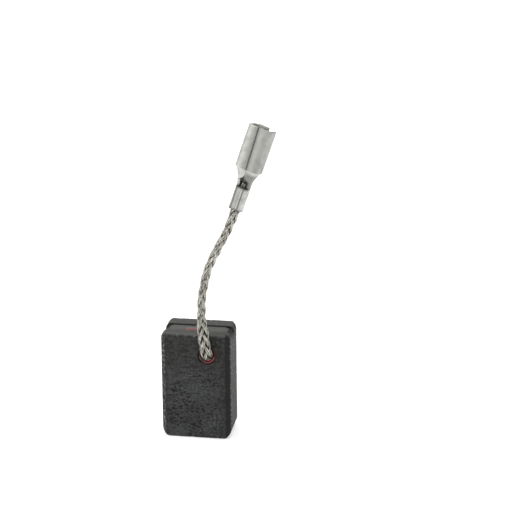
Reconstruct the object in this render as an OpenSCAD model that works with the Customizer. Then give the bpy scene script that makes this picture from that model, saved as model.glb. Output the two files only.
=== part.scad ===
// Carbon brush for a small power tool.
// A pressed carbon block holds a spring-loaded cut-off pin and the tamped end of a braided lead.
// The lead ends in a receptacle terminal folded from one sheet.
// Frame: +Z up along the block, origin at the centre of the contact face, X across the block,
// and -Y towards the face where the lead leaves.

/* [Block] */
// Width of the block
block_w = 10; // [9:0.5:12]
// Thickness of the block
block_t = 6.3; // [5.5:0.1:7]
// Length of the unworn block
block_l = 16; // [15.5:0.5:20]
// Chamfer along the four long edges
edge_chamfer = 0.65; // [0.2:0.05:0.8]
// Chamfer of the contact face at the front and back
foot_chamfer = 0.3; // [0.1:0.05:0.6]
// Chamfer of the two wide top edges
top_chamfer = 0.2; // [0.1:0.05:0.5]
// Corner radius at the contact face, seen from the front
foot_radius = 1.4; // [0.4:0.1:1.6]
// Corner radius at the top, seen from the front
top_radius = 0.9; // [0.3:0.1:1.2]
// Width of the groove that seats the holder's spring
groove_w = 2.2; // [1.8:0.1:2.6]
// Depth of that groove
groove_d = 0.2; // [0.1:0.05:0.5]
// Radius at which the groove's floor runs out at the block's two sides
groove_end = 1.4; // [0.9:0.1:2]

/* [Lead] */
// Diameter of the hole that the lead is tamped into
hole_d = 2.6; // [2.2:0.1:2.8]
// Depth of that hole
hole_depth = 3.6; // [3.5:0.1:4.2]
// Diameter of the braided lead
braid_d = 1.4; // [1.2:0.1:1.5]
// Diameter of the strands where the barrel squeezes them
crimped_d = 0.96; // [0.8:0.02:0.96]

/* [Cut-off] */
// Bore that the cut-off pin and its spring sit in
bore_d = 1.6; // [1.4:0.1:1.7]
// Height of the bore's blind end above the contact face, where wear frees the pin
bore_floor = 5; // [4:0.5:6.5]
// Length of the insulating pin
pin_l = 3; // [2:0.5:4]
// Turns of the pin's spring, with its two closed ends
spring_turns = 9; // [5:1:10]
// Thickness of the lacquer plug that closes the bore
plug_l = 1; // [0.6:0.1:1.5]

/* [Terminal] */
// Thickness of the tinned sheet
sheet_t = 0.35; // [0.3:0.01:0.36]
// Width over the two curls of the receptacle
curl_w = 3.6; // [3.3:0.1:3.8]
// Height of the receptacle
curl_h = 2.4; // [2.1:0.1:2.5]
// Length of the two curls
curl_l = 6.2; // [5.5:0.1:6.5]
// How far the base plate runs past the curls
lip_l = 0.1; // [0:0.1:0.6]
// Length of the neck between the receptacle and the barrel
neck_l = 2.7; // [2:0.1:3.2]
// Width of the crimped barrel
barrel_w = 1.9; // [1.9:0.1:2.2]
// Height of the crimped barrel
barrel_h = 1.6; // [1.6:0.1:1.8]
// Length of the crimped barrel
barrel_l = 3.3; // [3:0.1:3.8]

/* [Hidden] */
$fn = 48;
eps = 0.01;
carbon = [0.24, 0.24, 0.235];
tin = [0.76, 0.76, 0.74];
lacquer = [0.62, 0.06, 0.08];
powder = [0.45, 0.28, 0.2];
insulator = [0.85, 0.83, 0.76];
steel = [0.6, 0.6, 0.62];

// Block: the lead's hole lies right of the centre line and the pin's bore left of it,
// in a groove that runs a little in front of the middle
front = -block_t / 2;
groove_floor = block_l - groove_d;
groove_y = -0.25;
hole_x = 1.65;
hole_z = 12.85;
bore_x = -1.05;

// Lead: fill and seal rings round it, measured from the hole's blind end
hole_end = front + hole_depth;
fill_l = 2.7;
buried_end = hole_end - 0.2;
seal_rim = 0.65;
seal_throat = 0.3;
crimp_lead = 0.1;
crimp_stub = 0.7;

// Centre line of the lead from its buried end to the barrel
ROUTE = [
    [1.65, 0.25, 12.85], [1.65, -1.25, 12.85], [1.65, -2.75, 12.85], [1.8, -3.5, 13.2],
    [1.75, -3.95, 13.9], [1.6, -4.05, 14.85], [1.45, -4.05, 16], [1.3, -4, 17.4],
    [1.15, -3.85, 18.85], [1.15, -3.65, 20.4], [1.2, -3.45, 21.85], [1.5, -3.15, 23.8],
    [2, -2.8, 25.9], [2.75, -2.45, 27.65], [3.55, -2.1, 29.3], [4.4, -1.75, 30.9],
    [5.1, -1.6, 32.6], [5.55, -1.45, 33.8]
];

// Cut-off: plug, spring and pin below each other in the bore
plug_floor = groove_floor - plug_l;
dish_d = 2;
dish_h = 0.15;
pin_d = bore_d - 0.1;
pin_edge = 0.2;
pin_top = bore_floor + pin_l;
spring_wire = 0.22;
spring_r = (pin_d - spring_wire) / 2 - 0.05;
spring_span = plug_floor - pin_top - spring_wire;
closed_pitch = spring_wire * 1.1;

// Terminal: in its own frame +Z runs from the barrel to the mouth, -Y is the open side,
// and the origin is the lead's axis at the barrel's end
foot = [5.75, -1.35, 34.35];
lean_x = -8;
lean_y = 18.3;
turn_z = -18;
axis = [cos(lean_x) * sin(lean_y), -sin(lean_x), cos(lean_x) * cos(lean_y)];
back_y = 0.82;
curl_z = barrel_l + neck_l;
mouth_z = curl_z + curl_l;
slit = 0.02;
base_corner = 0.6;
neck_corner = 0.3;
neck_roll = 0.5;
neck_turn = [20, 150];
curl_start = 0.4;
barrel_turn = 150;
curl_turn = 235;
pierced_d = 0.7;
pierced_pitch = 1.45;
first_pierced = curl_z + 1.9;

// Points on an arc round c from angle a to angle b, in n steps
function arc(c, r, a, b, n) =
    [for (i = [0:n]) let (t = a + (b - a) * i / n) [c[0] + r * cos(t), c[1] + r * sin(t)]];
function flip_x(points) = [for (p = points) [-p[0], p[1]]];
function backwards(list) = [for (i = [len(list) - 1:-1:0]) list[i]];
function unit(v) = v / norm(v);

// Solid skinned over rings of 3-D points, each ring anticlockwise round the way it runs.
// Its two ends are closed by the quads between point i and its partner, counted from the end,
// which suits a round ring and a ring that goes out along a sheet and back.
module skin(rings) {
    n = len(rings[0]);
    last = len(rings) - 1;
    sides = [for (k = [0:last - 1], i = [0:n - 1])
        let (a = k * n + i, b = k * n + (i + 1) % n) each [[a, b + n, b], [a, a + n, b + n]]];
    start = [for (i = [0:n / 2 - 2]) [i, i + 1, n - 2 - i, n - 1 - i]];
    end = [for (q = start) [for (i = backwards(q)) last * n + i]];
    polyhedron([for (r = rings) each r], concat(start, sides, end));
}

// Round ring of a wire at point k of a path
function wire_ring(path, k, r, n) =
    let (ahead = path[min(k + 1, len(path) - 1)],
         behind = path[max(k - 1, 0)],
         t = unit(ahead - behind),
         u = unit([1, 0, 0] - t * t[0]),
         v = cross(t, u))
    [for (i = [0:n - 1]) path[k] + r * (u * cos(360 * i / n) + v * sin(360 * i / n))];

// The block

plan_view = [
    [edge_chamfer - block_w / 2, front], [block_w / 2 - edge_chamfer, front],
    [block_w / 2, front + edge_chamfer], [block_w / 2, -front - edge_chamfer],
    [block_w / 2 - edge_chamfer, -front], [edge_chamfer - block_w / 2, -front],
    [-block_w / 2, -front - edge_chamfer], [-block_w / 2, front + edge_chamfer]
];
// Front view up to a height, with the corner radius at the foot and the one at that height
function front_view(top, top_r) =
    let (right = concat(
        arc([block_w / 2 - foot_radius, foot_radius], foot_radius, -90, 0, 10),
        arc([block_w / 2 - top_r, top - top_r], top_r, 0, 90, 10)))
    concat(right, backwards(flip_x(right)));
right_bevels = [
    [-front - foot_chamfer, 0], [-front, foot_chamfer],
    [-front, block_l - top_chamfer], [-front - top_chamfer, block_l]
];
side_view = concat(right_bevels, backwards(flip_x(right_bevels)));

module carbon_block() {
    color(carbon)
    difference() {
        intersection() {
            linear_extrude(block_l) polygon(plan_view);
            rotate([90, 0, 0])
                linear_extrude(block_t + 1, center = true) polygon(front_view(block_l, top_radius));
            rotate([90, 0, 90]) linear_extrude(block_w + 1, center = true) polygon(side_view);
        }
        groove();
        translate([hole_x, front - 1, hole_z]) rotate([-90, 0, 0]) cylinder(d = hole_d, h = hole_depth + 1);
        translate([bore_x, groove_y, bore_floor]) cylinder(d = bore_d, h = block_l);
        bore_mouth();
    }
}

// What the groove takes off the block: its floor is flat and falls away over both sides
module groove() {
    translate([0, groove_y, 0])
    rotate([90, 0, 0])
    linear_extrude(groove_w, center = true)
    difference() {
        translate([-block_w, block_l / 2]) square([2 * block_w, block_l]);
        polygon(front_view(groove_floor, groove_end));
    }
}

// Mouth of the pin's bore, dished out along the groove only
module bore_mouth() {
    translate([bore_x, groove_y, groove_floor - dish_h])
    intersection() {
        cylinder(d1 = bore_d, d2 = dish_d, h = dish_h);
        translate([0, 0, dish_h / 2]) cube([dish_d, bore_d, 2 * dish_h], center = true);
    }
}

// The lead and what holds it

// Turned ring in the lead's hole: the profile's Y is the distance out of the blind end
module in_hole(profile) {
    translate([hole_x, hole_end, hole_z]) rotate([90, 0, 0]) rotate_extrude() polygon(profile);
}

module shunt_braid() {
    path = concat(ROUTE, [for (z = [-crimp_lead, 0, barrel_l, barrel_l + crimp_stub]) foot + axis * z]);
    function radius(k) = (k < len(ROUTE) ? braid_d : crimped_d) / 2;
    color(tin) skin([for (k = [0:len(path) - 1]) wire_ring(path, k, radius(k), 8)]);
}

module tamped_fill() {
    buried = hole_end - buried_end;
    color(powder)
    in_hole([[0, 0], [hole_d / 2, 0], [hole_d / 2, fill_l], [braid_d / 2, fill_l],
             [braid_d / 2, buried], [0, buried]]);
}

module shunt_seal() {
    wall = hole_d / 2;
    color(lacquer)
    in_hole([[braid_d / 2, fill_l], [wall, fill_l], [wall, fill_l + seal_rim],
             [wall - 0.1, fill_l + seal_rim], [wall - 0.25, fill_l + seal_throat + 0.1],
             [braid_d / 2, fill_l + seal_throat]]);
}

// The cut-off device

module cutoff_pin() {
    color(insulator)
    translate([bore_x, groove_y, bore_floor])
    rotate_extrude()
    polygon([[0, 0], [pin_d / 2 - pin_edge, 0], [pin_d / 2, pin_edge], [pin_d / 2, pin_l], [0, pin_l]]);
}

module cutoff_spring() {
    steps = 12;
    function rise(t) =
        t < 1 ? closed_pitch * t :
        t > spring_turns - 1 ? spring_span - closed_pitch * (spring_turns - t) :
        closed_pitch + (spring_span - 2 * closed_pitch) * (t - 1) / (spring_turns - 2);
    function ring(t) =
        let (c = cos(360 * t), s = sin(360 * t))
        [for (a = [30:60:330]) let (out = spring_r + spring_wire / 2 * cos(a))
            [out * c, out * s, rise(t) - spring_wire / 2 * sin(a)]];
    color(steel)
    translate([bore_x, groove_y, pin_top + spring_wire / 2])
    skin([for (k = [0:steps * spring_turns]) ring(k / steps)]);
}

module cutoff_seal() {
    color(lacquer)
    union() {
        translate([bore_x, groove_y, plug_floor]) cylinder(d = bore_d, h = plug_l);
        bore_mouth();
    }
}

// The terminal

// Right half of one section of the folded sheet: base plate, corner, side wall and rolled wing.
// The section is w by h outside, with the bend radius corner at the base plate and roll at the
// wing, which rolls on through the angle turn; off is the depth below the sheet's outer face.
function half_fold(w, h, corner, roll, turn, off) =
    concat(arc([w / 2 - corner, back_y - corner], corner - off, 90, 0, 5),
           arc([w / 2 - roll, back_y - h + roll], roll - off, 0, -turn, 14));
function both_halves(half) = concat(backwards(flip_x(half)), half);
function fold(w, h, corner, roll, turn) =
    concat(both_halves(half_fold(w, h, corner, roll, turn, sheet_t)),
           backwards(both_halves(half_fold(w, h, corner, roll, turn, 0))));
function fold_at(s) = [for (p = fold(s[1], s[2], s[3], s[4], s[5])) [p[0], p[1], s[0]]];

// Neck at the share s of its way up, as [z, w, h, corner, roll, turn]: it widens to just
// inside the curls, and its wings roll over from the share curl_start on
function neck_at(s) =
    let (rolled = max(0, (s - curl_start) / (1 - curl_start)),
         top_w = curl_w - 0.35,
         top_h = curl_h - 0.2,
         top_roll = curl_w / 4 - 0.05)
    [barrel_l + slit + (neck_l - 2 * slit) * s,
     barrel_w + (top_w - barrel_w) * s * s,
     barrel_h + (top_h - barrel_h) * s,
     base_corner + neck_corner * sin(180 * s),
     neck_roll + (top_roll - neck_roll) * s,
     neck_turn[0] + (neck_turn[1] - neck_turn[0]) * sqrt(1 - pow(1 - rolled, 2))];

module terminal() {
    barrel = [barrel_w, barrel_h, base_corner, barrel_w / 4, barrel_turn];
    curls = [curl_w, curl_h, base_corner, curl_w / 4, curl_turn];
    stations = concat([concat([0], barrel), concat([barrel_l], barrel)],
                      [for (i = [0:10]) neck_at(i / 10)],
                      [concat([curl_z], curls), concat([mouth_z], curls)]);
    color(tin)
    translate(foot) rotate([lean_x, lean_y, 0]) rotate([0, 0, turn_z])
    difference() {
        union() {
            skin([for (s = stations) fold_at(s)]);
            translate([base_corner - curl_w / 2, back_y - sheet_t + eps, mouth_z - sheet_t])
                cube([curl_w - 2 * base_corner, sheet_t - 2 * eps, sheet_t + lip_l]);
        }
        for (i = [0:2])
            translate([0, back_y + 1, first_pierced + i * pierced_pitch])
            rotate([90, 0, 0]) cylinder(d = pierced_d, h = 1 + sheet_t + eps);
    }
}

carbon_block();
shunt_braid();
tamped_fill();
shunt_seal();
cutoff_pin();
cutoff_spring();
cutoff_seal();
terminal();
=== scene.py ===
"""Looks of the carbon brush: block, braided lead, lacquer seals and folded terminal."""

import math

import bpy
import numpy as np
from mathutils import Matrix, Vector, noise


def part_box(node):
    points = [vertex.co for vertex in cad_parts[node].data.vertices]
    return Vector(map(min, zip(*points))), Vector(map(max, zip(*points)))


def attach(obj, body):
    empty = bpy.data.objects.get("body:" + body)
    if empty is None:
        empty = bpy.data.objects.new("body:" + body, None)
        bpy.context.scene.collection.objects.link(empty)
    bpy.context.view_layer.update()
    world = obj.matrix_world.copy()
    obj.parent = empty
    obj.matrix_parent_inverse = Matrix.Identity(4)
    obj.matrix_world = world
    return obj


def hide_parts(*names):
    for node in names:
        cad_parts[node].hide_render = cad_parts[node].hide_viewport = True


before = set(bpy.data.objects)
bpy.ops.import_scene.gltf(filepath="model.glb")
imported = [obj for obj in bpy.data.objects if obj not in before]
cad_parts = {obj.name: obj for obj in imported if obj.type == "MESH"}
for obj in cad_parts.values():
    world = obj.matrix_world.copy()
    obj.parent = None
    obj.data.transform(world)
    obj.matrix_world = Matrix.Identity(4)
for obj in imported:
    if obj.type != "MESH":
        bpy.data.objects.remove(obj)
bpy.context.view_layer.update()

# Shapes are worked out in millimetres, in the frame of the CAD, and scaled by MM when made
MM = 0.001

# Block: its half width, half thickness and height, and where its front face is
BLOCK_LOW, BLOCK_HIGH = (np.array(corner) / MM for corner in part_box("carbon_block"))
HALF_W, HALF_T = (BLOCK_HIGH[:2] - BLOCK_LOW[:2]) / 2
BLOCK_L = BLOCK_HIGH[2]
FRONT = BLOCK_LOW[1]

# Mouth of the lead's hole in the front
HOLE = np.array((1.65, FRONT, 12.85))
HOLE_R = 1.3

# Mouth of the cut-off pin's bore, in the floor of the spring groove, and half the groove's width
BORE = np.array((-1.05, -0.25, 15.8))
BORE_R = 0.8
GROOVE_HALF = 1.1

# Terminal: in its own frame z runs from the barrel up to the mouth, -y is the open side,
# and the origin is the lead's axis at the barrel's end
BARREL_L = 3.3
NECK_L = 2.7
CURL_L = 6.2
FOOT = np.array((5.75, -1.35, 34.35))
LEAN = Matrix.Rotation(math.radians(18.3), 3, "Y") @ Matrix.Rotation(math.radians(-8), 3, "X")
TURN = Matrix.Rotation(math.radians(-18), 3, "Z")
POSE = np.array(LEAN @ TURN)
AXIS = np.array(LEAN @ Vector((0, 0, 1)))


# ---------------------------------------------------------------- making meshes

def new_object(name, data):
    obj = bpy.data.objects.new(name, data)
    bpy.context.scene.collection.objects.link(obj)
    return obj


def new_mesh(name, verts, faces):
    """A mesh from points in millimetres."""
    mesh = bpy.data.meshes.new(name)
    mesh.from_pydata([tuple(v) for v in np.asarray(verts) * MM], [], faces)
    return mesh


def add_piece(name, verts, faces, slot, *materials):
    """A smooth mesh piece from points in millimetres, riding on the brush."""
    mesh = new_mesh(name, verts, faces)
    mesh.validate()
    mesh.shade_smooth()
    for material in materials:
        mesh.materials.append(material)
    piece = new_object(name, mesh)
    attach(piece, "root")
    return piece


def apply_modifiers(piece):
    bpy.context.view_layer.update()
    depsgraph = bpy.context.evaluated_depsgraph_get()
    mesh = bpy.data.meshes.new_from_object(piece.evaluated_get(depsgraph))
    piece.modifiers.clear()
    piece.data = mesh


def carve(piece, operation, verts, faces):
    """Joins a solid to the piece, or cuts it away, by a boolean."""
    tool = new_object("tool", new_mesh("tool", verts, faces))
    cut = piece.modifiers.new("carve", "BOOLEAN")
    cut.operation = operation
    cut.solver = "EXACT"
    cut.object = tool
    apply_modifiers(piece)
    bpy.data.objects.remove(tool)


def vectors(items, name):
    """The named vector of each of a mesh's items, as rows of x, y and z."""
    values = np.empty(len(items) * 3, np.float32)
    items.foreach_get(name, values)
    return values.reshape(-1, 3).astype(float)


def paint(mesh, name, amounts):
    """Keeps an amount from 0 to 1 for each of the mesh's points, for its material to read."""
    data = mesh.attributes.new(name, "FLOAT", "POINT").data
    data.foreach_set("value", np.clip(amounts, 0, 1).astype(np.float32))


def ring_faces(rings, sides):
    """Quads between rings of equal counts that follow each other."""
    faces = []
    for k in range(rings - 1):
        for i in range(sides):
            a = k * sides + i
            b = k * sides + (i + 1) % sides
            faces.append((a, b, b + sides, a + sides))
    return faces


def smooth_path(points, step, span_steps=40):
    """Points every step along a Catmull-Rom curve through the given ones, and their run from its start."""
    p = np.array(points, float)
    p = np.vstack([2 * p[0] - p[1], p, 2 * p[-1] - p[-2]])
    t = np.linspace(0, 1, span_steps, endpoint=False)[:, None]
    fine = []
    for k in range(1, len(p) - 2):
        a, b, c, d = p[k - 1:k + 3]
        fine.append(0.5 * (2 * b + (c - a) * t + (2 * a - 5 * b + 4 * c - d) * t ** 2
                           + (3 * b - a - 3 * c + d) * t ** 3))
    fine = np.vstack(fine + [p[-2:-1]])
    run = np.concatenate([[0], np.cumsum(np.linalg.norm(np.diff(fine, axis=0), axis=1))])
    at = np.linspace(0, run[-1], max(2, int(round(run[-1] / step)) + 1))
    return np.stack([np.interp(at, run, fine[:, i]) for i in range(3)], axis=1), at


def unit(v):
    return v / np.linalg.norm(v, axis=-1, keepdims=True)


def side_vectors(path):
    """For each point of a path, two unit vectors across it, the first as near to +X as can be."""
    along = unit(np.gradient(path, axis=0))
    across = unit(np.array((1.0, 0, 0)) - along * along[:, :1])
    return across, np.cross(along, across)


def tube(path, radius, sides):
    """Points and faces of a round tube; radius is one number or one for each point."""
    u, v = side_vectors(path)
    angle = np.linspace(0, 2 * math.pi, sides, endpoint=False)[:, None]
    r = np.broadcast_to(np.asarray(radius, float), len(path))[:, None, None]
    rings = path[:, None] + r * (u[:, None] * np.cos(angle) + v[:, None] * np.sin(angle))
    faces = ring_faces(len(path), sides)
    faces.append(tuple(range(sides))[::-1])
    faces.append(tuple(range((len(path) - 1) * sides, len(path) * sides)))
    return rings.reshape(-1, 3), faces


def joined(parts):
    """Several (points, faces) put together as one."""
    verts, faces, first = [], [], 0
    for v, f in parts:
        verts.append(v)
        faces += [tuple(i + first for i in face) for face in f]
        first += len(v)
    return np.vstack(verts), faces


def fractal(points, scale, seed, octaves=3):
    """Fractal noise, about -1 to 1, at points in millimetres; scale is features per millimetre."""
    shift = Vector((seed * 17.3, seed * 5.1, seed * 9.7))
    return np.array([noise.fractal(Vector(p) * scale + shift, 1.0, 2.0, octaves) for p in points])


def smoothstep(start, end, x):
    """From 0 at start to 1 at end, whichever of the two is the greater."""
    t = np.clip((x - start) / (end - start), 0, 1)
    return t * t * (3 - 2 * t)


def near(x, middle, reach):
    """One at the middle, falling off to a third at the reach and soon to nothing."""
    return np.exp(-((x - middle) / reach) ** 2)


# ---------------------------------------------------------------- making materials

class Shader:
    """A material's node tree, with short calls for the nodes used here."""

    def __init__(self, name):
        self.material = bpy.data.materials.new(name)
        self.material.use_nodes = True
        self.tree = self.material.node_tree
        self.bsdf = self.tree.nodes["Principled BSDF"]
        scale = self.node("VectorMath", operation="SCALE")
        scale.inputs["Scale"].default_value = 1 / MM
        self.feed(scale.inputs[0], self.node("TexCoord").outputs["Object"])
        self.mm = scale.outputs[0]

    def node(self, kind, **settings):
        node = self.tree.nodes.new("ShaderNode" + kind)
        for name, value in settings.items():
            setattr(node, name, value)
        return node

    def feed(self, socket, value):
        """Links another node's output to the socket, or sets its number or colour."""
        if isinstance(value, bpy.types.NodeSocket):
            self.tree.links.new(value, socket)
        elif isinstance(value, tuple):
            socket.default_value = (*value, 1.0)
        else:
            socket.default_value = value

    def set(self, **values):
        """Sets numbers of the surface itself, by the names of its sockets."""
        for name, value in values.items():
            self.bsdf.inputs[name.replace("_", " ")].default_value = value

    def link(self, source, name):
        self.tree.links.new(source, self.bsdf.inputs[name])

    def stretched(self, x, y, z):
        """The place in millimetres, multiplied along each axis."""
        mapping = self.node("VectorMath", operation="MULTIPLY")
        mapping.inputs[1].default_value = (x, y, z)
        self.feed(mapping.inputs[0], self.mm)
        return mapping.outputs[0]

    def noise(self, scale, detail, place=None):
        """Noise with scale features per millimetre."""
        n = self.node("TexNoise")
        n.inputs["Scale"].default_value = scale
        n.inputs["Detail"].default_value = detail
        n.inputs["Roughness"].default_value = 0.55
        self.feed(n.inputs["Vector"], place or self.mm)
        return n.outputs["Fac"]

    def attribute(self, name):
        return self.node("Attribute", attribute_name=name).outputs["Fac"]

    def spread(self, source, low, high, to_low=0.0, to_high=1.0):
        """Spreads the values from low to high over the range from to_low to to_high."""
        n = self.node("MapRange", interpolation_type="SMOOTHSTEP")
        n.inputs["From Min"].default_value = low
        n.inputs["From Max"].default_value = high
        n.inputs["To Min"].default_value = to_low
        n.inputs["To Max"].default_value = to_high
        self.feed(n.inputs["Value"], source)
        return n.outputs["Result"]

    def math(self, operation, a, b):
        n = self.node("Math", operation=operation)
        self.feed(n.inputs[0], a)
        self.feed(n.inputs[1], b)
        return n.outputs[0]

    def mix(self, factor, a, b):
        """Colour a where the factor is 0, and b where it is 1."""
        n = self.node("Mix", data_type="RGBA")
        self.feed(n.inputs[0], factor)
        color_a, color_b = [s for s in n.inputs if s.type == "RGBA"]
        self.feed(color_a, a)
        self.feed(color_b, b)
        return next(s for s in n.outputs if s.type == "RGBA")

    def bump(self, height, distance, strength):
        """A normal from a height of 0 to 1, with distance in millimetres."""
        n = self.node("Bump")
        n.inputs["Distance"].default_value = distance * MM
        n.inputs["Strength"].default_value = strength
        self.feed(n.inputs["Height"], height)
        return n.outputs["Normal"]


def mottled_material(name, light, dark, roughness, scale, metallic=0.0, bump=0.01):
    """A simple mottled surface, for what hardly shows."""
    s = Shader(name)
    grain = s.noise(scale, 3)
    s.link(s.mix(s.spread(grain, 0.3, 0.7), dark, light), "Base Color")
    s.link(s.spread(grain, 0.3, 0.7, roughness, roughness + 0.15), "Roughness")
    s.link(s.bump(grain, bump, 0.5), "Normal")
    s.set(Metallic=metallic)
    return s.material


# ---------------------------------------------------------------- the camera

CAMERA_TARGET = np.array((9.48, 0, 26.035))
CAMERA_DISTANCE = 278.4
CAMERA_AZIMUTH = math.radians(9.2)
CAMERA_ELEVATION = math.radians(19.7)
CAMERA_ROLL = math.radians(-0.25)
CAMERA_LENS = 135
SENSOR_WIDTH = 36
# Nearest distance that the camera sees, in metres
CLIP_START = 0.01


def aim(obj, target):
    """Turns an object's -Z to a target in millimetres."""
    obj.rotation_euler = (Vector(target) * MM - obj.location).to_track_quat("-Z", "Y").to_euler()


def make_camera():
    data = bpy.data.cameras.new("camera")
    data.lens = CAMERA_LENS
    data.sensor_width = SENSOR_WIDTH
    data.clip_start = CLIP_START
    camera = new_object("camera", data)
    level = math.cos(CAMERA_ELEVATION)
    away = np.array((math.sin(CAMERA_AZIMUTH) * level, -math.cos(CAMERA_AZIMUTH) * level,
                     math.sin(CAMERA_ELEVATION)))
    camera.location = Vector((CAMERA_TARGET + away * CAMERA_DISTANCE) * MM)
    aim(camera, CAMERA_TARGET)
    camera.rotation_euler.rotate_axis("Z", CAMERA_ROLL)
    bpy.context.scene.camera = camera


# ---------------------------------------------------------------- the lead

# Centre line of the lead, as in the CAD, from its buried end to the barrel
ROUTE = [
    (1.65, 0.25, 12.85), (1.65, -1.25, 12.85), (1.65, -2.75, 12.85), (1.8, -3.5, 13.2), (1.75, -3.95, 13.9),
    (1.6, -4.05, 14.85), (1.45, -4.05, 16), (1.3, -4, 17.4), (1.15, -3.85, 18.85), (1.15, -3.65, 20.4),
    (1.2, -3.45, 21.85), (1.5, -3.15, 23.8), (2, -2.8, 25.9), (2.75, -2.45, 27.65), (3.55, -2.1, 29.3),
    (4.4, -1.75, 30.9), (5.1, -1.6, 32.6), (5.55, -1.45, 33.8),
]
# How far the lead's end stands out of the barrel, into the neck
STUB_L = 0.7
# The step between points of the lead's path
PATH_STEP = 0.14

# Braid: bundles each way round, wires in each, and the length that a bundle takes for one turn
CARRIERS = 6
WIRES = 3
LAY = 10.5
WIRE_R = 0.07
WIRE_SIDES = 6
# How far a bundle rides out over the others and dives in, how much further out the wire in
# its middle lies, and how far wires wander sideways
RIDE = 0.085
CROWN = 0.02
WANDER = 0.03
# How far the core stays below the braid's outside: a dark tube, painted shade for the inside of the braid
CORE_DEPTH = 0.27
CORE_SIDES = 10

# Outer radius of the braid where it is tight, and squeezed in the barrel; what it gains where
# it is loose over the block and flares below the barrel, and loses in the hole
TIGHT_R = 0.62
SQUEEZED_R = 0.43
LOOSE_GAIN = 0.18
FLARE_GAIN = 0.08
HOLE_LOSS = 0.12
# Where these changes begin and end: heights, distances past the barrel's end, and depths in y
LOOSE_Z = (19.5, 16.5)
HOLE_TOP_Z = 14
HOLE_Y = (-3.3, -2.3)
FLARE_RUN = (-2.6, -0.6)
SQUEEZE_RUN = (-0.25, 0.15)


def past_foot(path):
    """How far points lie past the barrel's end, along the terminal."""
    return (path - FOOT) @ AXIS


def lead_radius(path):
    """Outer radius of the braid along its path."""
    _, y, z = path.T
    radius = (TIGHT_R + LOOSE_GAIN * smoothstep(*LOOSE_Z, z)
              + FLARE_GAIN * smoothstep(*FLARE_RUN, past_foot(path))
              - HOLE_LOSS * smoothstep(*HOLE_Y, y) * (z < HOLE_TOP_Z))
    squeezed = smoothstep(*SQUEEZE_RUN, past_foot(path))
    return radius * (1 - squeezed) + SQUEEZED_R * squeezed


def braided_wires(path, run, radius):
    """Wires of a tubular braid, two over and two under, in bundles that run both ways round.

    With them comes, for each of their points, how free it is of the painted shade, from 0 to 1:
    as far out as it rides, and half of that inside the terminal, where little light falls.
    """
    u, v = side_vectors(path)
    middle = radius - WIRE_R - RIDE
    shade_free_share = np.where(past_foot(path) < 0, 1.0, 0.5)
    parts, shade_free = [], []
    for way in (1, -1):
        for carrier in range(CARRIERS):
            column = 2 * carrier + way * 2 * CARRIERS * run / LAY
            turn = math.pi * column / CARRIERS
            wave = way * np.cos(math.pi / 2 * (column - 0.5))
            for wire in range(WIRES):
                # Each wire wanders in its own phase
                wander = WANDER * np.sin(run * 1.7 + 5.1 * carrier + 2.3 * wire + way)
                aside = (wire - (WIRES - 1) / 2) * 2 * WIRE_R + wander
                angle = (turn + aside / middle)[:, None]
                r = (middle + RIDE * wave + CROWN * (wire == WIRES // 2))[:, None]
                line = path + r * (u * np.cos(angle) + v * np.sin(angle))
                parts.append(tube(line, WIRE_R, WIRE_SIDES))
                shade_free.append(np.repeat((0.5 + 0.5 * wave) * shade_free_share, WIRE_SIDES))
    return parts, np.concatenate(shade_free)


# Colours of the strands, of the shade painted where they dive under others, and of the core, which is
# painted dark as the shade inside the braid
STRAND = (0.66, 0.65, 0.59)
STRAND_DULL = (0.40, 0.39, 0.34)
STRAND_STAIN = (0.12, 0.11, 0.09)
STRAND_SHADE = (0.035, 0.032, 0.027)
CORE_SHADE_LIGHT = (0.06, 0.055, 0.045)
CORE_SHADE_DARK = (0.02, 0.018, 0.015)


def strand_material():
    """Tinned copper wires, with painted shade, darker and browner, where they dive under others and inside
    the terminal.
    """
    s = Shader("tinned_strands")
    cloud = s.noise(1.1, 3)
    fine = s.noise(3.6, 3)
    color = s.mix(s.spread(cloud, 0.3, 0.7), STRAND, STRAND_DULL)
    color = s.mix(s.spread(fine, 0.5, 0.66, 0.0, 0.75), color, STRAND_STAIN)
    # Painted shade where a wire dives under others, and inside the terminal
    color = s.mix(s.spread(s.attribute("free_of_painted_shade"), 0.15, 0.8), STRAND_SHADE, color)
    s.link(color, "Base Color")
    s.link(s.spread(fine, 0.3, 0.7, 0.3, 0.5), "Roughness")
    s.link(s.bump(fine, 0.01, 0.5), "Normal")
    s.set(Metallic=0.8)
    return s.material


def make_lead():
    """Separate wires braided round a core painted dark as the shade inside the braid, from the hole in the
    block to the barrel.
    """
    in_barrel = [tuple(FOOT + AXIS * z) for z in (0.0, BARREL_L, BARREL_L + STUB_L)]
    path, run = smooth_path(ROUTE + in_barrel, PATH_STEP)
    radius = lead_radius(path)
    core_verts, core_faces = tube(path, radius - CORE_DEPTH, CORE_SIDES)
    wires, shade_free = braided_wires(path, run, radius)
    verts, faces = joined([(core_verts, core_faces)] + wires)
    core_shade_material = mottled_material("painted_shade_within_braid", CORE_SHADE_LIGHT, CORE_SHADE_DARK, 0.5, 4.0, 0.5)
    lead = add_piece("shunt_braid_wires", verts, faces, "tinned_copper", strand_material(), core_shade_material)
    paint(lead.data, "free_of_painted_shade", np.concatenate([np.zeros(len(core_verts)), shade_free]))
    for polygon in lead.data.polygons[:len(core_faces)]:
        polygon.material_index = 1
    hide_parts("shunt_braid")


# ---------------------------------------------------------------- the terminal

# Thickness of the sheet
SHEET = 0.35
# Where the outer face of the back is, and where the curls begin and end
BACK_Y = 0.82
CURL_Z = BARREL_L + NECK_L
MOUTH_Z = CURL_Z + CURL_L
# Width and height over the curls and over the barrel
CURL_W = 3.6
CURL_H = 2.4
BARREL_W = 1.9
BARREL_H = 1.6
# Outside radius of the bends beside the back, and what they gain halfway up the neck
CORNER = 0.6
NECK_CORNER = 0.3
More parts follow.
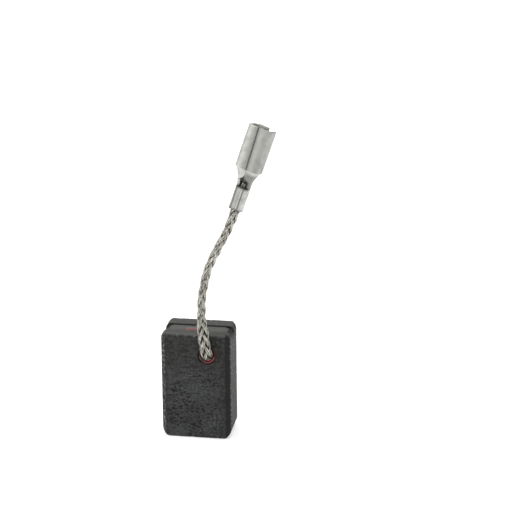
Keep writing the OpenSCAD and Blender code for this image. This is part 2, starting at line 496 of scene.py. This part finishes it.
# Length over which the section jumps from the barrel to the neck and from there to the curls,
# width of the chamfer at a cut edge, and how far the lip stays below the faces of the sheet
JUMP_L = 0.04
EDGE = 0.05
LIP_INSET = 0.01

# Curls: how far a wing rolls on, height over width of its roll, and how far the line between
# the wings has moved aside at the mouth
CURL_TURN = 235
CURL_FLAT = 0.5
SEAM = -0.3
# Neck: its size at the upper end, radius of its wings' roll below and above, how far they roll
# below and above, and the share of its way up where they start to
NECK_TOP_W = CURL_W - 0.35
NECK_TOP_H = CURL_H - 0.2
NECK_ROLL = (0.5, CURL_W / 4 - 0.05)
NECK_TURN = (20, 150)
CURL_START = 0.4
# Barrel: radius of its two upper bends, half the gap between its wings, and how deep the wings
# dip towards the gap, and from how far
BEND_R = 0.42
HALF_GAP = 0.02
DIP = 0.1
DIP_HALF = 0.35

# Steps along a corner and along a wing, and sections along each stretch
CORNER_STEPS = 8
WING_STEPS = 28
BARREL_RINGS = 12
NECK_RINGS = 25
CURL_RINGS = 22

# How far the back runs past the curls, and a step in the mouth: right of STEP_X and behind
# STEP_Y the sheet ends lower by STEP_DEPTH
LIP_L = 0.1
STEP_X = 0.5
STEP_Y = 0.25
STEP_DEPTH = 0.35
# Three holes through the back, and two shallow stops below them
PIERCED_Z = [CURL_Z + 1.9 + 1.45 * i for i in range(3)]
PIERCED_R = 0.35
STOP_X = 0.7
STOP_Z = CURL_Z + 0.45
STOP_R = 0.17
STOP_DEPTH = 0.14
# How far a pin that cuts them stands out of the back, and how far a cutting box does
PIN_OUT = 0.6
BOX_OUT = 0.3
# How unevenly the sheet is bent, in millimetres and in waves per millimetre
UNEVEN = 0.02
UNEVEN_SCALE = 0.35
# Angle from which an edge shows as sharp
SHARP = math.radians(38)


def arc(center, r, start, end, steps):
    """Points round a center; r is one radius, or one along each axis."""
    t = np.radians(np.linspace(start, end, steps + 1))
    return np.stack([np.cos(t), np.sin(t)], axis=1) * r + center


def corner_bend(w, corner, off):
    """Bend beside the back in a section of width w, off below its outer face."""
    return arc((w / 2 - corner, BACK_Y - corner), corner - off, 90, 0, CORNER_STEPS)


def half_fold(w, h, corner, roll, turn, off, flat):
    """Right half of the folded sheet's section, off below its outer face: corner, then wing.

    The wing rolls on through turn, with roll as half its width and flat as height over width.
    """
    wing = arc((w / 2 - roll, BACK_Y - h + roll * flat), (roll - off, roll * flat - off),
               0, -turn, WING_STEPS)
    return np.vstack([corner_bend(w, corner, off), wing])


def half_barrel(off, inset):
    """Right half of the barrel's section: its wing is folded flat over the strands."""
    top = BACK_Y - BARREL_H
    bend = arc((BARREL_W / 2 - BEND_R, top + BEND_R), BEND_R - off, 0, -90, WING_STEPS // 2)
    run = np.linspace(BARREL_W / 2 - BEND_R, HALF_GAP + inset, WING_STEPS // 2 + 1)[1:]
    wing = np.column_stack([run, top + off + DIP * smoothstep(DIP_HALF, 0, run)])
    return np.vstack([corner_bend(BARREL_W, CORNER, off), bend, wing])


def ring(z, left, right, inset):
    """The whole section at height z, out along the inner face and back along the outer one.

    left and right give a half at a depth below the outer face, both as if it were the right one.
    The inset makes the section thinner, for the chamfer of a cut edge.
    """
    inner, outer = [np.vstack([left(off)[::-1] * (-1, 1), right(off)]) for off in (SHEET - inset, inset)]
    section = np.vstack([inner, outer[::-1]])
    return np.column_stack([section, np.full(len(section), z)])


def fold_ring(z, w, h, corner, roll, turn, flat, seam=0.0, inset=0.0):
    """Section with rolled wings; seam is how far the line between them lies from the middle."""
    trimmed = turn - math.degrees(inset / roll)

    def left(off):
        return half_fold(w, h, corner, roll + seam / 2, trimmed, off, flat)

    def right(off):
        return half_fold(w, h, corner, roll - seam / 2, trimmed, off, flat)

    return ring(z, left, right, inset)


def barrel_ring(z, inset=0.0):
    """Section of the crimped barrel."""
    def half(off):
        return half_barrel(off, inset)

    return ring(z, half, half, inset)


def neck_station(s):
    """The neck at the share s of its way up: it widens to the curls while its wings roll over."""
    rolled = max(0.0, (s - CURL_START) / (1 - CURL_START))
    return (BARREL_L + JUMP_L + (NECK_L - 2 * JUMP_L) * s,
            BARREL_W + (NECK_TOP_W - BARREL_W) * s * s,
            BARREL_H + (NECK_TOP_H - BARREL_H) * s,
            CORNER + NECK_CORNER * math.sin(math.pi * s),
            NECK_ROLL[0] + (NECK_ROLL[1] - NECK_ROLL[0]) * s,
            NECK_TURN[0] + (NECK_TURN[1] - NECK_TURN[0]) * math.sqrt(1 - (1 - rolled) ** 2),
            1 - (1 - CURL_FLAT) * s)


def terminal_rings():
    """Sections of the terminal from the barrel's end up to the mouth."""
    curls = (CURL_W, CURL_H, CORNER, CURL_W / 4, CURL_TURN, CURL_FLAT)
    rings = [barrel_ring(0, EDGE)]
    rings += [barrel_ring(z) for z in np.linspace(EDGE, BARREL_L - EDGE, BARREL_RINGS)]
    rings += [barrel_ring(BARREL_L, EDGE)]
    rings += [fold_ring(*neck_station(s)) for s in np.linspace(0, 1, NECK_RINGS)]
    rings += [fold_ring(CURL_Z, *curls, inset=EDGE)]
    rings += [fold_ring(z, *curls, seam=SEAM * (z - CURL_Z) / CURL_L)
              for z in np.linspace(CURL_Z + EDGE, MOUTH_Z - EDGE, CURL_RINGS)]
    rings += [fold_ring(MOUTH_Z, *curls, seam=SEAM, inset=EDGE)]
    return rings


def stood(points):
    """Points of the terminal's own frame, brought to where it stands."""
    return np.asarray(points) @ POSE.T + FOOT


def stood_box(low, high):
    """Points and faces of a box between two corners in the terminal's own frame."""
    corners = [(x, y, z) for z in (low[2], high[2]) for y in (low[1], high[1]) for x in (low[0], high[0])]
    faces = [(0, 2, 3, 1), (4, 5, 7, 6), (0, 1, 5, 4), (2, 6, 7, 3), (0, 4, 6, 2), (1, 3, 7, 5)]
    return stood(corners), faces


def stood_pin(x, z, depth, radius, sides):
    """Points and faces of a pin that goes to a depth below the outer face of the terminal's back."""
    return tube(stood([(x, BACK_Y - depth, z), (x, BACK_Y + PIN_OUT, z)]), radius, sides)


# Colours of the tin, and of the shade painted on it
TIN = (0.56, 0.56, 0.53)
TIN_CLOUDY = (0.42, 0.42, 0.395)
TIN_SPECK = (0.231, 0.231, 0.21725)
TIN_PAINTED_SHADE = (0.126, 0.126, 0.1185)


def tin_material():
    """Tinned sheet: soft sheen with cloudy areas, fine scratches and specks, and darker where shade is
    painted.
    """
    s = Shader("tinned_sheet")
    cloud = s.noise(0.9, 3)
    fine = s.noise(7, 3)
    scratch = s.noise(6, 2, s.stretched(1.0, 1.0, 0.12))
    color = s.mix(s.spread(cloud, 0.3, 0.72), TIN, TIN_CLOUDY)
    color = s.mix(s.spread(fine, 0.62, 0.8, 0.0, 0.5), color, TIN_SPECK)
    color = s.mix(s.attribute("tin_painted_shade"), color, TIN_PAINTED_SHADE)
    s.link(color, "Base Color")
    s.link(s.spread(s.math("ADD", cloud, scratch), 0.7, 1.3, 0.42, 0.58), "Roughness")
    s.link(s.bump(s.math("ADD", fine, scratch), 0.008, 0.5), "Normal")
    s.set(Metallic=0.75)
    return s.material


def paint_terminal(mesh):
    """Marks where shade is painted on the tin, in the terminal's own frame: an amount for each place."""
    x, y, z = ((vectors(mesh.vertices, "co") / MM - FOOT) @ POSE).T
    on_curls = z > CURL_Z - 0.02
    on_neck = (z > BARREL_L) * (z < CURL_Z)
    on_barrel = z < BARREL_L
    open_side = y < 0.1
    from_seam = x - SEAM * np.clip((z - CURL_Z) / CURL_L, 0, 1)
    # Painted shade: the valley between the curls, the right curl and a line along its edge, the throat of
    # the neck, the barrel's folds and both ends of the barrel
    valley = near(from_seam, -0.05, 0.42) * open_side * on_curls
    right_curl = smoothstep(0.2, 0.5, from_seam) * on_curls
    right_edge = near(x, CURL_W / 2, 0.035) * (y > 0.3) * on_curls
    throat = smoothstep(-0.2, 0.4, x) * smoothstep(CURL_Z, CURL_Z - 0.8, z) * on_neck
    folds = near(abs(x + 0.08), 0.5, 0.13) * open_side * on_barrel
    barrel_end = near(z, 0, 0.16)
    barrel_top = near(z, BARREL_L, 0.12) * open_side
    paint(mesh, "tin_painted_shade", 0.42 * valley + 0.32 * right_curl + 0.5 * right_edge + 0.75 * throat
          + 0.95 * folds + 0.85 * barrel_end + 0.95 * barrel_top)


def make_terminal():
    """The folded sheet, with the lip and step at its mouth and the holes and stops in its back."""
    rings = terminal_rings()
    sides = len(rings[0])
    verts = stood(np.vstack(rings))
    verts += UNEVEN * np.stack([fractal(verts, UNEVEN_SCALE, seed, 2) for seed in (1, 2, 3)], axis=1)
    faces = ring_faces(len(rings), sides)
    # Both ends are closed by quads between the inner and the outer face
    last = (len(rings) - 1) * sides
    for i in range(sides // 2 - 1):
        quad = (i, i + 1, sides - 2 - i, sides - 1 - i)
        faces += [quad[::-1], tuple(last + k for k in quad)]
    terminal = add_piece("terminal_sheet", verts, faces, "tinned_brass", tin_material())
    lip_half = CURL_W / 2 - CORNER
    carve(terminal, "UNION", *stood_box((-lip_half, BACK_Y - SHEET + LIP_INSET, MOUTH_Z - SHEET),
                                        (lip_half, BACK_Y - LIP_INSET, MOUTH_Z + LIP_L)))
    carve(terminal, "DIFFERENCE", *joined([stood_pin(0, z, PIN_OUT, PIERCED_R, sides=24)
                                           for z in PIERCED_Z]))
    carve(terminal, "DIFFERENCE", *stood_box((STEP_X, STEP_Y, MOUTH_Z - STEP_DEPTH),
                                             (CURL_W / 2 + BOX_OUT, BACK_Y + BOX_OUT, MOUTH_Z + BOX_OUT)))
    carve(terminal, "DIFFERENCE", *joined([stood_pin(x, STOP_Z, STOP_DEPTH, STOP_R, sides=16)
                                           for x in (-STOP_X, STOP_X)]))
    terminal.data.set_sharp_from_angle(angle=SHARP)
    paint_terminal(terminal.data)
    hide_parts("terminal")


# ---------------------------------------------------------------- the block

# Cells of the remeshed block
VOXEL = 0.09
# Outward move that makes up for what the remesh rounds off, then height or depth of the wear
SWELL = 0.03
GRAIN_H = 0.01
CHIP_DEPTH = 0.035
PIT_DEPTH = 0.08

# Colours of the carbon and of its ground faces with their painted glints; painted sheen for the top, the
# groove's floor and the front top edge; painted shade for the pits, the groove's walls and the right
# chamfer
CARBON = (0.048, 0.048, 0.046)
CARBON_DARK = (0.017, 0.017, 0.0165)
BLOOM = (0.062, 0.064, 0.067)
PRESS_LINE = (0.010, 0.010, 0.010)
SPECK = (0.12, 0.12, 0.118)
GROUND = (0.052, 0.051, 0.049)
GROUND_DARK = (0.005, 0.005, 0.005)
GROUND_PAINTED_GLINT = (0.27, 0.27, 0.26)
SHEEN_PAINT = (0.122, 0.121, 0.113)
SHEEN_PAINT_DARK = (0.074, 0.074, 0.070)
PIT_PAINTED_SHADE = (0.003, 0.003, 0.003)
CARBON_PAINTED_SHADE = (0.006, 0.006, 0.006)


def carbon_material():
    """Pressed carbon: matt grain with faint press lines and painted shade in its pits, paler where ground
    and speckled there with painted glints, with painted highlights, sheen and shade where marked so.
    """
    s = Shader("pressed_carbon")
    grain = s.noise(3.0, 3)
    fine = s.noise(8, 2)
    lines = s.noise(1.3, 2, s.stretched(0.3, 0.3, 3.0))
    specks = s.spread(s.noise(4.5, 2), 0.58, 0.66)
    bloom = s.attribute("bloom")
    color = s.mix(s.spread(grain, 0.36, 0.64), CARBON_DARK, CARBON)
    color = s.mix(s.math("MULTIPLY", bloom, s.spread(fine, 0.4, 0.6)), color, BLOOM)
    color = s.mix(s.spread(lines, 0.55, 0.66, 0.0, 0.6), color, PRESS_LINE)
    color = s.mix(s.math("MULTIPLY", specks, s.math("MULTIPLY", bloom, 0.6)), color, SPECK)
    ground = s.mix(s.spread(s.noise(2.4, 3), 0.4, 0.6), GROUND_DARK, GROUND)
    # Pale specks on the ground faces are painted glints
    ground = s.mix(s.spread(s.noise(3.0, 2), 0.58, 0.64), ground, GROUND_PAINTED_GLINT)
    color = s.mix(s.attribute("wear_and_highlight"), color, ground)
    color = s.mix(s.attribute("painted_sheen"), color, s.mix(fine, SHEEN_PAINT_DARK, SHEEN_PAINT))
    color = s.mix(s.attribute("pits"), color, PIT_PAINTED_SHADE)
    color = s.mix(s.attribute("skin"), color, CARBON_PAINTED_SHADE)
    s.link(color, "Base Color")
    s.link(s.spread(grain, 0.3, 0.7, 0.5, 0.75), "Roughness")
    s.link(s.bump(s.math("ADD", grain, s.math("MULTIPLY", fine, 0.4)), 0.06, 0.8), "Normal")
    s.set(Specular_IOR_Level=0.18)
    return s.material


def remeshed_block():
    """A copy of the block's own solid, in millimetres and with a fine even mesh."""
    block = new_object("pressed_carbon_block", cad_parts["carbon_block"].data.copy())
    block.data.transform(Matrix.Scale(1 / MM, 4))
    remesh = block.modifiers.new("fine", "REMESH")
    remesh.mode = "VOXEL"
    remesh.voxel_size = VOXEL
    apply_modifiers(block)
    return block


def block_wear(co):
    """Wear at points of the plain block: grain from -1 to 1, and chips, pits and open middle from 0 to 1.

    Last comes how far each point lies below the second nearest face, which is little near an edge.
    """
    x, y, z = co.T
    below_faces = np.stack([HALF_W - abs(x), HALF_T - abs(y), np.minimum(z, BLOCK_L - z)], axis=1)
    nearest, second, _ = np.sort(below_faces, axis=1).T
    near_edge = smoothstep(0.7, 0.1, second) * (nearest < 0.4)
    chips = smoothstep(0.12, 0.45, fractal(co, 1.1, 4)) * near_edge
    middle = smoothstep(HALF_W - 0.9, HALF_W - 1.6, abs(x + 0.2)) * smoothstep(12.5, 10, z)
    clusters = smoothstep(-0.3, 0.2, fractal(co, 0.4, 7, 2)) * (0.25 + 0.75 * middle)
    pits = smoothstep(0.2, 0.3, fractal(co * (0.8, 1, 1.1), 3.1, 6, 2)) * clusters * (nearest < 0.05)
    return fractal(co, 4.0, 5), chips, pits, middle, second


def paint_block(mesh, co, grain, chips, pits, middle, second):
    """Marks where the block's look changes, for its material: wear, and painted highlights, sheen and
    shade.
    """
    x, y, z = co.T
    on_front = y < FRONT + 0.3
    ground = smoothstep(HALF_W - 0.12, HALF_W - 0.03, abs(x))
    left_edge = smoothstep(-HALF_W + 0.6, -HALF_W + 0.45, x) * (1 - ground)
    right_edge = smoothstep(HALF_W - 0.75, HALF_W - 0.6, x) * (1 - ground) * (y < FRONT + 0.6)
    top = smoothstep(BLOCK_L - 0.3, BLOCK_L - 0.1, z) * (second > 0.12)
    front_top_edge = near(y, FRONT + 0.2, 0.11) * near(z, BLOCK_L, 0.11) * (abs(x) < HALF_W - 0.7)
    scuff = near(x, 3.3, 0.8) * near(z, BLOCK_L - 0.6, 0.35) * on_front * (grain > 0.1)
    across = abs(y - BORE[1])
    in_groove = z > BORE[2] - 0.15
    floor = (across < GROOVE_HALF - 0.08) * (z < BORE[2] + 0.08) * in_groove
    wall = (across < GROOVE_HALF + 0.08) * (across > GROOVE_HALF - 0.14) * (z < BLOCK_L - 0.01) * in_groove
    patches = 0.75 + 0.25 * smoothstep(-0.3, 0.3, grain)
    haze = 0.35 + 0.65 * smoothstep(-0.4, 0.4, fractal(co, 0.35, 8, 2))
    # Wear on the chips, the ground sides and a scuff; the left edge and the front top edge are painted
    # lighter as highlights
    paint(mesh, "wear_and_highlight", 0.8 * chips + 0.6 * ground + 1.1 * left_edge + 0.9 * front_top_edge + 0.9 * scuff)
    # Painted shade in the pits
    paint(mesh, "pits", 0.8 * pits)
    paint(mesh, "bloom", haze * middle * on_front)
    # Painted sheen on the front top edge, the groove's floor and the top, in patches
    paint(mesh, "painted_sheen", 0.9 * front_top_edge + 0.85 * floor + 0.72 * top * (1 - wall) * patches)
    # Painted shadow on the groove's walls, and painted shade on the right chamfer
    paint(mesh, "skin", wall + 0.85 * right_edge)


def make_block():
    """The block's own solid, with chipped edges, pits and grain."""
    block = remeshed_block()
    mesh = block.data
    co = vectors(mesh.vertices, "co")
    wear = block_wear(co)
    grain, chips, pits = wear[:3]
    move = SWELL + GRAIN_H * grain - CHIP_DEPTH * chips - PIT_DEPTH * pits
    co += vectors(mesh.vertex_normals, "vector") * move[:, None]
    mesh.vertices.foreach_set("co", (co * MM).ravel().astype(np.float32))
    paint_block(mesh, co, *wear)
    mesh.materials.clear()
    mesh.materials.append(carbon_material())
    mesh.shade_smooth()
    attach(block, "root")
    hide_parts("carbon_block")


# ---------------------------------------------------------------- the seals

# Ring of lacquer: distance from the hole's axis and depth below the front, round its section
SEAL_R = 1.29
SEAL_BACK = 1.1
SEAL_SECTION = [(SEAL_R, SEAL_BACK), (SEAL_R, 0.28), (1.24, 0.2), (1.12, 0.17), (1.0, 0.22),
                (0.88, 0.34), (0.78, 0.52), (0.75, SEAL_BACK)]
SEAL_STEPS = 72
# Plug of the bore: radius of its face, its gap to the bore across the groove, height of its dome,
# how far its rim is rounded off, its length, and how wide its lower end is for its face
PLUG_R = 0.98
PLUG_GAP = 0.02
PLUG_DOME = 0.02
PLUG_RIM = 0.05
PLUG_L = 0.9
PLUG_TAPER = 0.75
PLUG_STEPS = 64
PLUG_ROWS = 8

# Colours of the lacquer, of the dust that lies on it, and of the shade painted on it
LACQUER = (0.26, 0.010, 0.022)
LACQUER_THICK = (0.12, 0.012, 0.010)
LACQUER_DIRT = (0.05, 0.016, 0.012)
CARBON_DUST = (0.075, 0.070, 0.066)
LACQUER_PAINTED_SHADE = (0.022, 0.010, 0.008)


def lacquer_material():
    """Red sealing lacquer: glossy, thicker and darker in places, with dust and with painted shade where
    marked so.
    """
    s = Shader("red_lacquer")
    thick = s.noise(1.6, 3)
    dirt = s.noise(6, 3)
    color = s.mix(s.spread(thick, 0.35, 0.68), LACQUER, LACQUER_THICK)
    color = s.mix(s.spread(dirt, 0.56, 0.72, 0.0, 0.7), color, LACQUER_DIRT)
    color = s.mix(s.attribute("dust"), color, CARBON_DUST)
    color = s.mix(s.attribute("ring_painted_shade"), color, LACQUER_PAINTED_SHADE)
    s.link(color, "Base Color")
    s.link(s.spread(dirt, 0.4, 0.7, 0.12, 0.3), "Roughness")
    s.link(s.bump(thick, 0.04, 0.6), "Normal")
    s.set(Coat_Weight=0.4, Coat_Roughness=0.08)
    return s.material


def make_hole_seal(lacquer):
    """Ring of lacquer that wetted the wall of the lead's hole and left a gap round the strands."""
    verts = []
    for t in np.linspace(0, 2 * math.pi, SEAL_STEPS, endpoint=False):
        high = 0.5 + 0.5 * math.sin(t)
        ragged = 0.05 * math.sin(3 * t + 1) + 0.03 * math.sin(7 * t)
        for radius, depth in SEAL_SECTION:
            r = radius + (SEAL_R - radius) * (ragged - 0.1 * (1 - high))
            sunk = 0.4 * high ** 2 * (depth < SEAL_BACK)
            y = depth + sunk + 0.03 * math.sin(5 * t)
            verts.append(HOLE + np.array((r * math.cos(t), y, r * math.sin(t))))
    count = len(SEAL_SECTION)
    faces = []
    for k in range(SEAL_STEPS):
        here, there = k * count, (k + 1) % SEAL_STEPS * count
        for i in range(count):
            j = (i + 1) % count
            faces.append((here + i, there + i, there + j, here + j))
    seal = add_piece("shunt_seal_ring", verts, faces, "red_lacquer", lacquer)
    side, _, up = ((np.array(verts) - HOLE) / HOLE_R).T
    shade_left = smoothstep(0.15, -0.75, side + 0.25 * up)
    shade_top = smoothstep(0.2, 0.8, up)
    # Painted shade at the ring's left and at its top, inside the hole's rim
    paint(seal.data, "ring_painted_shade", 0.85 * shade_left + 0.7 * shade_top)
    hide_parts("shunt_seal")


def make_bore_seal(lacquer):
    """Red plug of the pin's bore, domed a little, uneven at its rim and dusty behind its middle."""
    face = [(0, 0, PLUG_DOME)]
    for row in range(1, PLUG_ROWS + 1):
        share = row / PLUG_ROWS
        for k in range(PLUG_STEPS):
            t = 2 * math.pi * k / PLUG_STEPS
            r = PLUG_R * share * (1 + 0.05 * math.sin(3 * t + 0.7) + 0.03 * math.sin(8 * t))
            y = np.clip(r * math.sin(t), PLUG_GAP - BORE_R, BORE_R - PLUG_GAP)
            z = PLUG_DOME * (1 - share ** 2) - PLUG_RIM * (row == PLUG_ROWS)
            face.append((r * math.cos(t), y, z))
    end = [(PLUG_TAPER * x, PLUG_TAPER * y, -PLUG_L) for x, y, _ in face[-PLUG_STEPS:]]
    verts = BORE + np.array(face + end)
    faces = [(0, 1 + k, 1 + (k + 1) % PLUG_STEPS) for k in range(PLUG_STEPS)]
    for row in range(PLUG_ROWS):
        first = 1 + row * PLUG_STEPS
        for k in range(PLUG_STEPS):
            a = first + k
            b = first + (k + 1) % PLUG_STEPS
            faces.append((a, a + PLUG_STEPS, b + PLUG_STEPS, b))
    faces.append(tuple(range(len(face), len(verts))))
    seal = add_piece("cutoff_seal_plug", verts, faces, "red_lacquer", lacquer)
    paint(seal.data, "dust", smoothstep(-0.25, 0.02, verts[:, 1] - BORE[1]))
    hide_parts("cutoff_seal")


# ---------------------------------------------------------------- the pieces inside

def finish_hidden_pieces():
    """Materials of the CAD pieces inside the block, which stay as they are."""
    looks = {
        "tamped_fill": mottled_material("tamped_powder", light=(0.30, 0.16, 0.10), dark=(0.05, 0.03, 0.02),
                                        roughness=0.7, scale=6.0, metallic=0.3, bump=0.03),
        "cutoff_pin": mottled_material("insulating_plastic", light=(0.62, 0.58, 0.48),
                                       dark=(0.50, 0.46, 0.37), roughness=0.45, scale=3.0),
        "cutoff_spring": mottled_material("spring_wire", light=(0.50, 0.50, 0.51), dark=(0.35, 0.35, 0.36),
                                          roughness=0.3, scale=5.0, metallic=1.0),
    }
    for node, material in looks.items():
        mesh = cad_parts[node].data
        mesh.materials.clear()
        mesh.materials.append(material)


# ---------------------------------------------------------------- floor and light

# Half the floor's side in metres, its grey, and how much it glows for the camera
FLOOR_HALF = 1.5
FLOOR_GREY = (0.82, 0.82, 0.82, 1)
FLOOR_GLOW = 0.45
# Strength of the world's light, and the point in millimetres that the lamps face
ROOM_LIGHT = 0.55
LAMP_TARGET = (3, 0, 22)
WHITE = (1, 1, 1, 1)


def light_path_mask(tree, *rays):
    """One where any of the named kinds of ray looks, else zero."""
    path = tree.nodes.new("ShaderNodeLightPath")
    total = path.outputs[rays[0]]
    for ray in rays[1:]:
        most = tree.nodes.new("ShaderNodeMath")
        most.operation = "MAXIMUM"
        tree.links.new(total, most.inputs[0])
        tree.links.new(path.outputs[ray], most.inputs[1])
        total = most.outputs[0]
    return total


def pick_by_ray(tree, mask, plain, seen, output):
    """Shows one shader where the mask is one, and the plain one elsewhere."""
    pick = tree.nodes.new("ShaderNodeMixShader")
    out = tree.nodes.new(output)
    tree.links.new(mask, pick.inputs[0])
    tree.links.new(plain.outputs[0], pick.inputs[1])
    tree.links.new(seen.outputs[0], pick.inputs[2])
    tree.links.new(pick.outputs[0], out.inputs["Surface"])


def make_floor():
    """Pale floor that looks white where it is lit and keeps the brush's shadow."""
    mesh = bpy.data.meshes.new("floor")
    corners = [(-FLOOR_HALF, -FLOOR_HALF, 0), (FLOOR_HALF, -FLOOR_HALF, 0),
               (FLOOR_HALF, FLOOR_HALF, 0), (-FLOOR_HALF, FLOOR_HALF, 0)]
    mesh.from_pydata(corners, [], [(0, 1, 2, 3)])
    floor = new_object("floor", mesh)
    material = bpy.data.materials.new("pale_floor")
    material.use_nodes = True
    tree = material.node_tree
    tree.nodes.clear()
    diffuse = tree.nodes.new("ShaderNodeBsdfDiffuse")
    diffuse.inputs["Color"].default_value = FLOOR_GREY
    glow = tree.nodes.new("ShaderNodeEmission")
    glow.inputs["Color"].default_value = WHITE
    glow.inputs["Strength"].default_value = FLOOR_GLOW
    both = tree.nodes.new("ShaderNodeAddShader")
    tree.links.new(diffuse.outputs[0], both.inputs[0])
    tree.links.new(glow.outputs[0], both.inputs[1])
    mask = light_path_mask(tree, "Is Camera Ray", "Is Glossy Ray", "Is Transmission Ray")
    pick_by_ray(tree, mask, diffuse, both, "ShaderNodeOutputMaterial")
    mesh.materials.append(material)


def background(tree, strength):
    node = tree.nodes.new("ShaderNodeBackground")
    node.inputs["Color"].default_value = WHITE
    node.inputs["Strength"].default_value = strength
    return node


def make_world():
    """White behind the brush for the camera, and a soft room for everything that it lights."""
    world = bpy.data.worlds.new("studio")
    world.use_nodes = True
    bpy.context.scene.world = world
    tree = world.node_tree
    tree.nodes.clear()
    pick_by_ray(tree, light_path_mask(tree, "Is Camera Ray"), background(tree, ROOM_LIGHT),
                background(tree, 1.0), "ShaderNodeOutputWorld")


def add_lamp(name, at, size, watts):
    """A square softbox at a point in millimetres, aimed at the middle of the brush."""
    data = bpy.data.lights.new(name, "AREA")
    data.size = size * MM
    data.energy = watts
    lamp = new_object(name, data)
    lamp.location = Vector(at) * MM
    aim(lamp, LAMP_TARGET)


bpy.context.scene.view_settings.view_transform = "Standard"
make_camera()
make_terminal()
make_lead()
make_block()
red = lacquer_material()
make_hole_seal(red)
make_bore_seal(red)
finish_hidden_pieces()
make_floor()
make_world()
add_lamp("key_left", (-230, -160, 240), size=180, watts=0.6)
add_lamp("fill_right", (260, -20, 160), size=160, watts=0.12)
add_lamp("top", (20, 60, 330), size=220, watts=0.45)
